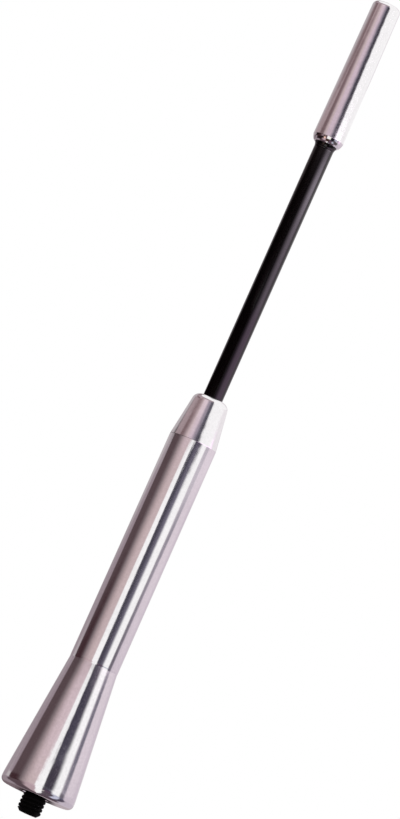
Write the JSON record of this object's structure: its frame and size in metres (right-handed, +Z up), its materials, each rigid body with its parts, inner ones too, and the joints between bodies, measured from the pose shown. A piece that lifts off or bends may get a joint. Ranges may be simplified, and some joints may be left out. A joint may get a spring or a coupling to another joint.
{
  "type": "short car antenna",
  "caption": "Short screw-on car antenna: flared aluminium base, flexible black rod with a helical winding inside, aluminium tip cap and a threaded stud under the foot.",
  "frame": {"origin": "on the mast's axis, at the seating face of the foot", "axes": "+Z up the mast, away from the vehicle; the stud points down -Z; turned all round, so +X and +Y are free"},
  "size_m": [0.019, 0.019, 0.2182],
  "materials": {
    "polished_aluminium": "polished, turned",
    "black_steel": "black oxide",
    "brass": "machined",
    "fibreglass": "pultruded glass and resin",
    "copper": "enamelled copper wire",
    "black_jacket": "satin"
  },
  "bodies": {
    "root": {"base_body": "polished_aluminium", "mounting_stud": "black_steel", "rod_ferrule": "brass", "core_rod": "fibreglass", "helical_winding": "copper", "rod_sheath": "black_jacket", "tip_cap": "polished_aluminium"}
  },
  "joints": []
}
